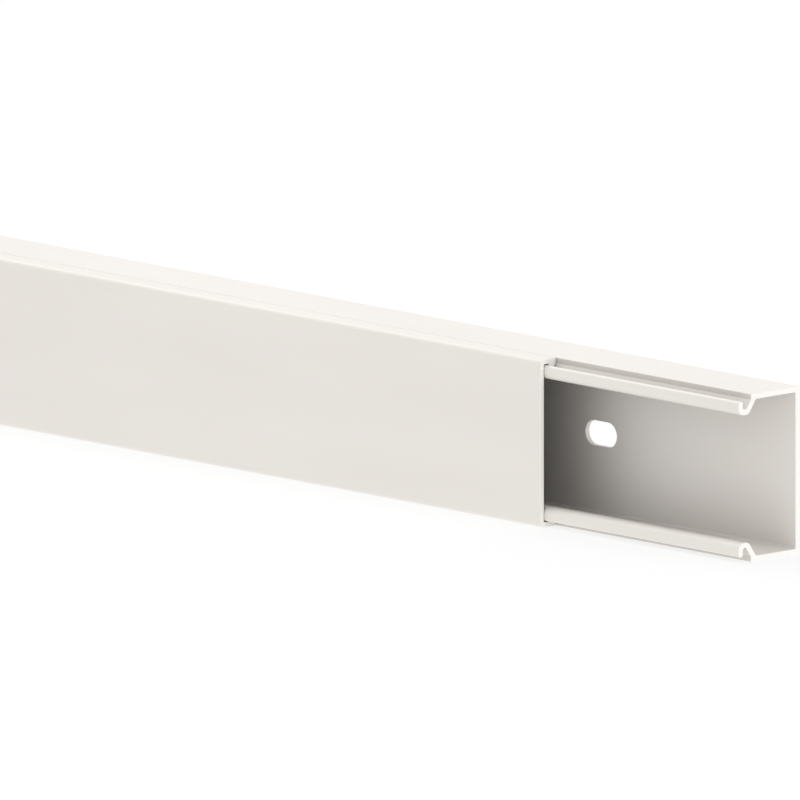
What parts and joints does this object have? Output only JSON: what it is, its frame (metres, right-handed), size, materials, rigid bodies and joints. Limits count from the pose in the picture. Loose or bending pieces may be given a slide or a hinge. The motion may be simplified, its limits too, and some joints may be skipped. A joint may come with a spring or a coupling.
{
  "type": "cable trunking",
  "caption": "Shallow rectangular wall trunking: an extruded channel with a slotted back wall and sprung lips, closed by a flat cover that clips on and slides along it.",
  "frame": {"origin": "middle of the base's flat wall face", "axes": "+X along the trunking, to the end where the cover is set back; +Y out of the wall face, towards the wall; +Z upright as it stands in the picture"},
  "size_m": [2.05, 0.0155, 0.03],
  "materials": {
    "base_pvc": "satin extruded cream-white rigid PVC",
    "cover_pvc": "satin extruded cream-white rigid PVC"
  },
  "bodies": {
    "base": {"base_channel": "base_pvc"},
    "cover": {"cover": "cover_pvc"}
  },
  "joints": [
    {"name": "cover_slide", "type": "slide", "parent": "base", "child": "cover", "axis": [1, 0, 0], "range_m": [-1.95, 0.05]}
  ]
}
